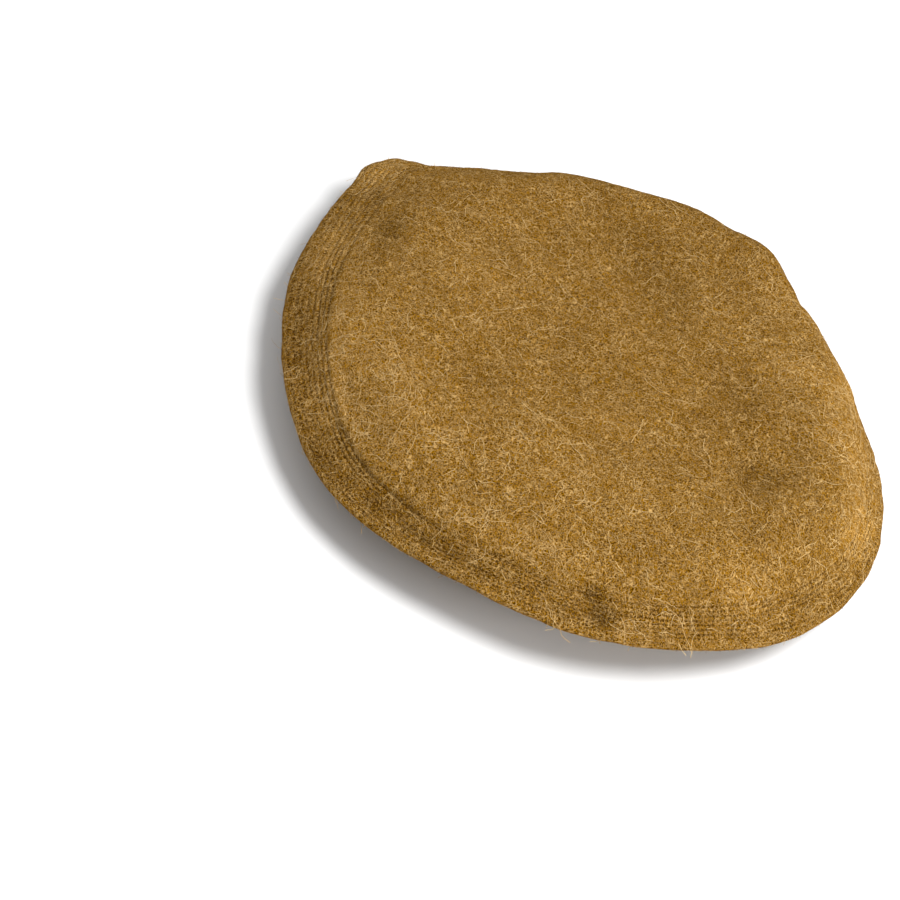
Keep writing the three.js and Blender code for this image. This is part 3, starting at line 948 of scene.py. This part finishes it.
def stitch_pits(cloth):
    """The pits that the stitches make, and the lines of the rows that are drawn in most: where
    the cloth dips, and where shade is painted in them.
    """
    uv = cloth.add("ShaderNodeUVMap", uv_map="stitches")
    parts = cloth.add("ShaderNodeSeparateXYZ", {0: uv.outputs[0]})
    stitch, row = parts.outputs[0], parts.outputs[1]
    stray = cloth.rescale(cloth.noise(6 * MM, 1.0), 0.2, 0.8, -0.4, 0.4)
    drawn = cloth.rescale(cloth.noise(9 * MM, 1.0), 0.2, 0.8, -0.25, 0.25)
    off_stitch = cloth.math("PINGPONG", cloth.math("ADD", stitch, stray), 0.5)
    off_row = cloth.math("PINGPONG", cloth.math("ADD", row, drawn), 0.5)
    off_hole = cloth.math("ADD", cloth.math("POWER", off_stitch, 2.0),
                          cloth.math("POWER", off_row, 2.0))
    hole = cloth.rescale(off_hole, 0.0, 0.11, 1.0, 0.0)
    off_line = cloth.math("PINGPONG", row, 0.5)
    line = cloth.math("MULTIPLY", cloth.rescale(off_line, 0.0, 0.22, 1.0, 0.0),
                      cloth.carried("rows"))
    in_band = cloth.math("MULTIPLY", cloth.rescale(row, 0.45, 0.7),
                         cloth.rescale(row, STITCH_ROWS + 0.4, STITCH_ROWS + 0.2))
    worn = cloth.rescale(cloth.noise(7 * MM, 1.0), 0.32, 0.62, 0.25, 1.0)
    return cloth.math("MULTIPLY", cloth.math("MAXIMUM", hole, line),
                      cloth.math("MULTIPLY", in_band, worn))


def felt(name, deep, ground, pale, quilted=False):
    """Felted wool: dark pores under a net of fine curled hairs, and broad drifts of colour,
    lightened and darkened by the painted light and shade that the mesh carries.
    """
    cloth = Finish(name, 0.95, 0.0, 0.0)
    deep, ground, pale = shade(deep), shade(ground), shade(pale)
    # the painted light and shade moves the mottle towards its ground, strengthens the hairs and
    # raises or lowers the brightness
    tone = cloth.carried("tone")
    level = cloth.weigh(cloth.noise(1.6 * MM, 1.0, 0.6), cloth.noise(0.55 * MM, 0.0), 0.15)
    shaded = cloth.math("MULTIPLY_ADD", tone, 0.045, level)
    body = cloth.mix(cloth.rescale(shaded, 0.36, 0.58), deep, ground)
    coarse = cloth.hairs(2.6 * MM, 0.035, 1)
    middling = cloth.hairs(1.7 * MM, 0.05, 2)
    fine = cloth.hairs(1.1 * MM, 0.07, 3)
    patch = cloth.rescale(cloth.noise(5.0 * MM, 1.0), 0.35, 0.6, 0.45, 0.9)
    hair = cloth.math("MAXIMUM", cloth.math("MAXIMUM", coarse, middling), fine)
    hair = cloth.math("MULTIPLY", hair, patch)
    strong = cloth.math("MULTIPLY_ADD", tone, 0.10, 0.85)
    body = cloth.mix(cloth.math("MULTIPLY", hair, strong, clamp=True), body, pale)
    drift = cloth.rescale(cloth.noise(26 * MM, 2.0), 0.3, 0.7, 0.0, 0.15)
    body = cloth.brighten(cloth.mix(drift, body, deep), tone, 0.18, 1.06)
    height = cloth.math("ADD", level, cloth.math("MULTIPLY", hair, 0.25))
    if quilted:
        pit = stitch_pits(cloth)
        # painted shade in the stitch holes and the drawn-in rows, over their dip in the bump
        body = cloth.mix(cloth.math("MULTIPLY", pit, 0.75), body, deep)
        height = cloth.math("SUBTRACT", height, cloth.math("MULTIPLY", pit, 0.6))
    cloth.colour(body)
    cloth.bump(height, 1.6 * MM)
    return cloth.material


def loose_wool(name, dark, pale):
    """Single hairs, each with a shade of its own."""
    hair = Finish(name, 0.8, 0.0, 0.0)
    hair.colour(hair.mix(hair.carried("shade"), shade(dark), shade(pale)))
    return hair.material


def cotton(name, deep, ground):
    """Plain-woven cotton with a soft sheen."""
    cloth = Finish(name, 0.62, 0.25, 0.4)
    thread = 0.42 * MM
    parts = cloth.add("ShaderNodeSeparateXYZ", {0: cloth.place})
    warp = cloth.math("SINE", cloth.math("MULTIPLY", parts.outputs[0], math.tau / thread))
    weft = cloth.math("SINE", cloth.math("MULTIPLY", parts.outputs[1], math.tau / thread))
    weave = cloth.math("MULTIPLY", warp, weft)
    slub = cloth.add("ShaderNodeMapping", {"Vector": cloth.place, "Scale": (0.15, 1, 1)})
    streak = cloth.noise(0.7 * MM, 1.0, 0.5, place=slub.outputs[0])
    share = cloth.weigh(streak, cloth.noise(40 * MM, 1.0), 0.15)
    body = cloth.mix(cloth.rescale(share, 0.3, 0.65), shade(deep), shade(ground))
    body = cloth.mix(cloth.rescale(weave, -1.0, 1.0, 0.12, 0.0), body, shade(deep))
    # painted light and shade of the lining's folds
    cloth.colour(cloth.brighten(body, cloth.carried("tone"), 0.28, 1.0))
    cloth.bump(weave, 0.05 * MM, 0.5)
    return cloth.material


# Stitches and loose hairs

def new_nodes(name, inputs):
    """A geometry tree with named inputs, what goes into it, and the node that it ends in."""
    group = bpy.data.node_groups.new(name, "GeometryNodeTree")
    group.interface.new_socket("Geometry", in_out="INPUT", socket_type="NodeSocketGeometry")
    for title, kind, value in inputs:
        socket = group.interface.new_socket(title, in_out="INPUT", socket_type="NodeSocket" + kind)
        if value is not None:
            socket.default_value = value
    group.interface.new_socket("Geometry", in_out="OUTPUT", socket_type="NodeSocketGeometry")
    tree = Tree(group)
    return tree, tree.add("NodeGroupInput").outputs, tree.add("NodeGroupOutput")


def named(tree, name, kind="FLOAT"):
    node = tree.add("GeometryNodeInputNamedAttribute", {"Name": name}, data_type=kind)
    return node.outputs["Attribute"]


def stitch_nodes():
    """One stitch on each point, lying along the row and flat on the cloth."""
    tree, given, made = new_nodes("quilting stitches", [
        ("Length", "Float", 1.5 * MM), ("Thickness", "Float", 0.4 * MM),
        ("Material", "Material", None), ("Seed", "Int", 1)])
    upright = tree.add("FunctionNodeAlignRotationToVector", {
        "Vector": named(tree, "outward", "FLOAT_VECTOR")}, axis="Z")
    along = tree.add("FunctionNodeAlignRotationToVector", {
        "Rotation": upright, "Vector": named(tree, "along", "FLOAT_VECTOR")},
        axis="X", pivot_axis="Z")
    vary = tree.add("FunctionNodeRandomValue", {2: 0.75, 3: 1.15, "Seed": given["Seed"]},
                    data_type="FLOAT")
    size = tree.add("ShaderNodeCombineXYZ", {
        0: given["Length"], 1: given["Thickness"], 2: given["Thickness"]})
    bead = tree.add("GeometryNodeMeshUVSphere", {"Radius": 0.5, "Segments": 4, "Rings": 2})
    placed = tree.add("GeometryNodeInstanceOnPoints", {
        "Points": given["Geometry"], "Instance": bead.outputs["Mesh"], "Rotation": along,
        "Scale": tree.vector("SCALE", size, vary.outputs[1])})
    real = tree.add("GeometryNodeRealizeInstances", {"Geometry": placed})
    soft = tree.add("GeometryNodeSetShadeSmooth", {"Geometry": real})
    painted = tree.add("GeometryNodeSetMaterial", {
        "Geometry": soft, "Material": given["Material"]})
    tree.feed(made.inputs[0], painted)
    return tree.tree


def hair_nodes():
    """Loose hairs that lie over a cloth, each arched and curled in its own way."""
    tree, given, made = new_nodes("loose hairs", [
        ("Density", "Float", 1.0), ("Patchiness", "Float", 1.0), ("Shortest", "Float", 1.5 * MM),
        ("Longest", "Float", 5 * MM), ("Width", "Float", 0.13 * MM), ("Arch", "Float", 0.12),
        ("Curl", "Float", 0.3), ("Curl size", "Float", 5 * MM),
        ("Rest height", "Float", 0.15 * MM), ("Points", "Int", 4), ("Seed", "Int", 1),
        ("Material", "Material", None)])
    where = tree.math("POWER", named(tree, "fuzz"), given["Patchiness"])
    strewn = tree.add("GeometryNodeDistributePointsOnFaces", {
        "Mesh": given["Geometry"], "Density": tree.math("MULTIPLY", given["Density"], where),
        "Seed": given["Seed"]})

    def random(low, high, salt):
        seed = tree.math("ADD", given["Seed"], float(salt))
        node = tree.add("FunctionNodeRandomValue", {2: low, 3: high, "Seed": seed},
                        data_type="FLOAT")
        return node.outputs[1]

    def store(geometry, name, value, kind="FLOAT"):
        return tree.add("GeometryNodeStoreNamedAttribute", {
            "Geometry": geometry, "Name": name, "Value": value}, data_type=kind, domain="POINT")

    # Mostly short hairs, each turned its own way
    points = store(strewn.outputs["Points"], "nap", strewn.outputs["Normal"], "FLOAT_VECTOR")
    points = store(points, "shade", random(0.0, 1.0, 11))
    length = tree.add("ShaderNodeMapRange", {
        "Value": tree.math("POWER", random(0.0, 1.0, 12), 2.2), "To Min": given["Shortest"],
        "To Max": given["Longest"]}).outputs["Result"]
    points = store(points, "length", length)
    spin = tree.add("ShaderNodeCombineXYZ", {2: random(0.0, math.tau, 13)})
    upright = tree.add("FunctionNodeAlignRotationToVector", {
        "Vector": strewn.outputs["Normal"]}, axis="Z")
    turned = tree.add("FunctionNodeRotateRotation", {
        "Rotation": upright, "Rotate By": spin.outputs[0]}, rotation_space="LOCAL")
    line = tree.add("GeometryNodeCurvePrimitiveLine", {"Start": (-0.5, 0, 0), "End": (0.5, 0, 0)})
    fine = tree.add("GeometryNodeResampleCurve", {"Curve": line, "Count": given["Points"]})
    laid = tree.add("GeometryNodeInstanceOnPoints", {
        "Points": points, "Instance": fine, "Rotation": turned, "Scale": length})
    real = tree.add("GeometryNodeRealizeInstances", {"Geometry": laid})

    # An arch off the cloth, and a curl that keeps to it
    factor = tree.add("GeometryNodeSplineParameter").outputs["Factor"]
    hump = tree.math("MULTIPLY", factor, tree.math("SUBTRACT", 1.0, factor))
    own_length, nap = named(tree, "length"), named(tree, "nap", "FLOAT_VECTOR")
    arch = tree.math("MULTIPLY", own_length, given["Arch"])
    lift = tree.math("MULTIPLY_ADD", hump, arch, given["Rest height"])
    sway = tree.add("ShaderNodeTexNoise", {
        "W": tree.math("MULTIPLY", named(tree, "shade"), 40.0),
        "Scale": tree.math("DIVIDE", 1.0, given["Curl size"]), "Detail": 1.0},
        noise_dimensions="4D")
    centred = tree.vector("ADD", sway.outputs["Color"], (-0.5, -0.5, -0.5))
    proud = tree.add("ShaderNodeVectorMath", {0: centred, 1: nap}, operation="DOT_PRODUCT")
    flat = tree.vector("SUBTRACT", centred, tree.vector("SCALE", nap, proud.outputs["Value"]))
    bend = tree.vector("SCALE", flat, tree.math("MULTIPLY", own_length, given["Curl"]))
    shift = tree.vector("ADD", bend, tree.vector("SCALE", nap, lift))
    curled = tree.add("GeometryNodeSetPosition", {"Geometry": real, "Offset": shift})
    flat_side = tree.add("GeometryNodeSetCurveNormal", {"Curve": curled, "Normal": nap}, mode="FREE")

    # A ribbon along it, thinner at both ends
    taper = tree.math("ADD", tree.math("MULTIPLY", hump, 3.4), 0.25, clamp=True)
    tapered = tree.add("GeometryNodeSetCurveRadius", {"Curve": flat_side, "Radius": taper})
    left, right = (tree.add("ShaderNodeCombineXYZ", {1: tree.math("MULTIPLY", given["Width"], half)})
                   for half in (-0.5, 0.5))
    ribbon = tree.add("GeometryNodeCurvePrimitiveLine", {"Start": left, "End": right})
    swept = tree.add("GeometryNodeCurveToMesh", {"Curve": tapered, "Profile Curve": ribbon})
    painted = tree.add("GeometryNodeSetMaterial", {
        "Geometry": swept, "Material": given["Material"]})
    tree.feed(made.inputs[0], painted)
    return tree.tree


def grown(name, source, nodes, **values):
    """What a geometry tree makes on a source mesh, as a piece with a plain mesh."""
    piece = add_piece(name, source)
    modifier = piece.modifiers.new(name, "NODES")
    modifier.node_group = nodes
    for socket in nodes.interface.items_tree:
        key = socket.name.lower().replace(" ", "_")
        if socket.in_out == "INPUT" and key in values:
            modifier[socket.identifier] = values[key]
    return settled(piece)


def stitch_points(name, grid, normals, distances, width):
    """A point for each stitch of the rows, with the ways that it lies and faces."""
    places, alongs, outwards = [], [], []
    turns = (np.arange(STITCHES_ROUND) + 0.5) / STITCHES_ROUND * len(grid)
    low = np.floor(turns).astype(int) % len(grid)
    high = (low + 1) % len(grid)
    part = (turns - np.floor(turns))[:, None]
    every = np.arange(len(grid))
    for row in range(1, STITCH_ROWS + 1):
        target = width * row / STITCH_ROWS
        index = np.array([np.interp(t, d, np.arange(len(d))) for t, d in zip(target, distances)])
        near = np.floor(index).astype(int)
        share = (index - near)[:, None]
        ring = grid[every, near] * (1 - share) + grid[every, near + 1] * share
        places.append(ring[low] * (1 - part) + ring[high] * part)
        alongs.append(ring[high] - ring[low])
        outwards.append(normals[every, near][low])
    places, alongs, outwards = (np.concatenate(rows) for rows in (places, alongs, outwards))
    mesh = bpy.data.meshes.new(name)
    mesh.from_pydata((places + outwards * STITCH_LIFT) * MM, [], [])
    point_attribute(mesh, "along", alongs)
    point_attribute(mesh, "outward", outwards)
    return mesh


# The hat put together

crown_wool = felt("crown felt", "4a2b02", "936612", "d6ae6e", quilted=True)
side_wool = felt("side felt", "462d09", "795612", "ad8948", quilted=True)
roll_wool = felt("roll felt", "462d09", "795612", "ad8948")
lining_cloth = cotton("lining cotton", "735f44", "836f53")
hair_wool = loose_wool("loose wool", "583808", "dab370")
pale_wool = loose_wool("long pale hairs", "a07a40", "dcbc84")
thread = loose_wool("quilting thread", "64420e", "946c28")

crown = add_piece("crown_top_felt", crown_mesh, crown_wool)
side = add_piece("crown_side_felt", side_mesh, side_wool)
roll = add_piece("brim_roll_felt", roll_mesh, roll_wool)
lining = make_lining(lining_cloth)

band = slice(0, walk.size)
top_points = stitch_points("crown_top_stitches", crown_grid[:, band], crown_normals[:, band],
                           from_rim[:, band], band_width)
side_points = stitch_points("crown_side_stitches", lower_grid, lower_normals, side_from_rim,
                            side_width[:, 0])
top_stitches = grown("crown_top_stitches", top_points, stitch_nodes(), material=thread, seed=3)
side_stitches = grown("crown_side_stitches", side_points, stitch_nodes(), material=thread, seed=4)

hairs = hair_nodes()
crown_fuzz = grown("crown_top_fuzz", crown_mesh.copy(), hairs, density=4.4e5, shortest=1.1 * MM,
                   longest=3.8 * MM, width=0.12 * MM, curl=0.9, curl_size=2.6 * MM, points=5,
                   seed=41, material=hair_wool)
crown_hairs = grown("crown_top_hairs", crown_mesh.copy(), hairs, density=9e4, patchiness=4,
                    shortest=4 * MM, longest=16 * MM, width=0.15 * MM, arch=0.05, curl=0.9,
                    curl_size=6 * MM, rest_height=0.2 * MM, points=10, seed=43,
                    material=pale_wool)
side_fuzz = grown("crown_side_fuzz", side_mesh.copy(), hairs, density=1.5e5, shortest=1.5 * MM,
                  longest=5 * MM, width=0.15 * MM, seed=45, material=hair_wool)
roll_fuzz = grown("brim_roll_fuzz", roll_mesh.copy(), hairs, density=2.4e5, shortest=1.5 * MM,
                  longest=5 * MM, width=0.14 * MM, curl=0.8, curl_size=3 * MM, seed=47,
                  material=hair_wool)

for piece in (crown, side, roll, lining, top_stitches, side_stitches, crown_fuzz, crown_hairs,
              side_fuzz, roll_fuzz):
    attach(piece, "root")
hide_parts("crown_top")
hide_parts("crown_side")
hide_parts("brim_roll")
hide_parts("lining")


# The floor, the light and the camera, in metres

HAT_MIDDLE = (0, 0, 0.02)
CAMERA_LIFT, CAMERA_LEAN = math.radians(44), math.radians(25)
CAMERA_AIM = Vector((-0.0455, -0.0385, -0.0115))
CAMERA_DISTANCE = 1.0


def add_light(name, kind, place, turned, **settings):
    data = bpy.data.lights.new(name, kind)
    for setting, value in settings.items():
        setattr(data, setting, value)
    light = bpy.data.objects.new(name, data)
    light.location = place
    light.rotation_euler = turned
    bpy.context.scene.collection.objects.link(light)


def area_light(name, place, size, power):
    turned = (Vector(HAT_MIDDLE) - Vector(place)).to_track_quat("-Z", "Y").to_euler()
    add_light(name, "AREA", place, turned, shape="DISK", size=size, energy=power)


def floor():
    """A pale floor that is open inside the foot of the roll, so that light reaches the lining."""
    reach, inside, corners = 6000, ROLL_RADIUS + 4, np.arange(0, 360, 5)
    rings = [polar(corners, np.full(corners.shape, radius), 0.0, ROLL_MIDDLE)
             for radius in (reach, inside)]
    material = bpy.data.materials.new("pale floor")
    material.use_nodes = True
    tree = Tree(material.node_tree)
    surface = material.node_tree.nodes["Principled BSDF"]
    surface.inputs["Base Color"].default_value = (0.9, 0.9, 0.9, 1)
    surface.inputs["Roughness"].default_value = 0.9
    clear = tree.add("ShaderNodeBsdfTransparent")
    behind = tree.add("ShaderNodeNewGeometry").outputs["Backfacing"]
    both = tree.add("ShaderNodeMixShader", {0: behind, 1: surface, 2: clear})
    tree.feed(material.node_tree.nodes["Material Output"].inputs["Surface"], both)
    add_piece("floor", rings_to_mesh("floor", rings), material)


def camera():
    back = Vector((0, -math.cos(CAMERA_LIFT), math.sin(CAMERA_LIFT)))
    level_right = Vector((1, 0, 0))
    level_up = Vector((0, math.sin(CAMERA_LIFT), math.cos(CAMERA_LIFT)))
    right = level_right * math.cos(CAMERA_LEAN) + level_up * math.sin(CAMERA_LEAN)
    up = level_up * math.cos(CAMERA_LEAN) - level_right * math.sin(CAMERA_LEAN)
    data = bpy.data.cameras.new("camera")
    data.lens, data.sensor_width = 91.8, 36
    data.clip_start, data.clip_end = 0.05, 50
    piece = bpy.data.objects.new("camera", data)
    place = Matrix((right, up, back)).transposed().to_4x4()
    place.translation = CAMERA_AIM + back * CAMERA_DISTANCE
    piece.matrix_world = place
    bpy.context.scene.collection.objects.link(piece)
    bpy.context.scene.camera = piece


floor()
camera()
area_light("key", (0.4, -0.25, 1.2), 0.6, 16.8)
area_light("side", (1.3, -0.3, 0.42), 0.5, 8)
add_light("below", "SUN", (0, 0, 0), (math.radians(148), 0, math.radians(35)),
          energy=1.4, angle=0.5)
world = bpy.data.worlds.new("studio")
world.use_nodes = True
world.node_tree.nodes["Background"].inputs["Color"].default_value = (1, 1, 1, 1)
world.node_tree.nodes["Background"].inputs["Strength"].default_value = 0.6
bpy.context.scene.world = world
bpy.context.scene.view_settings.view_transform = "Standard"
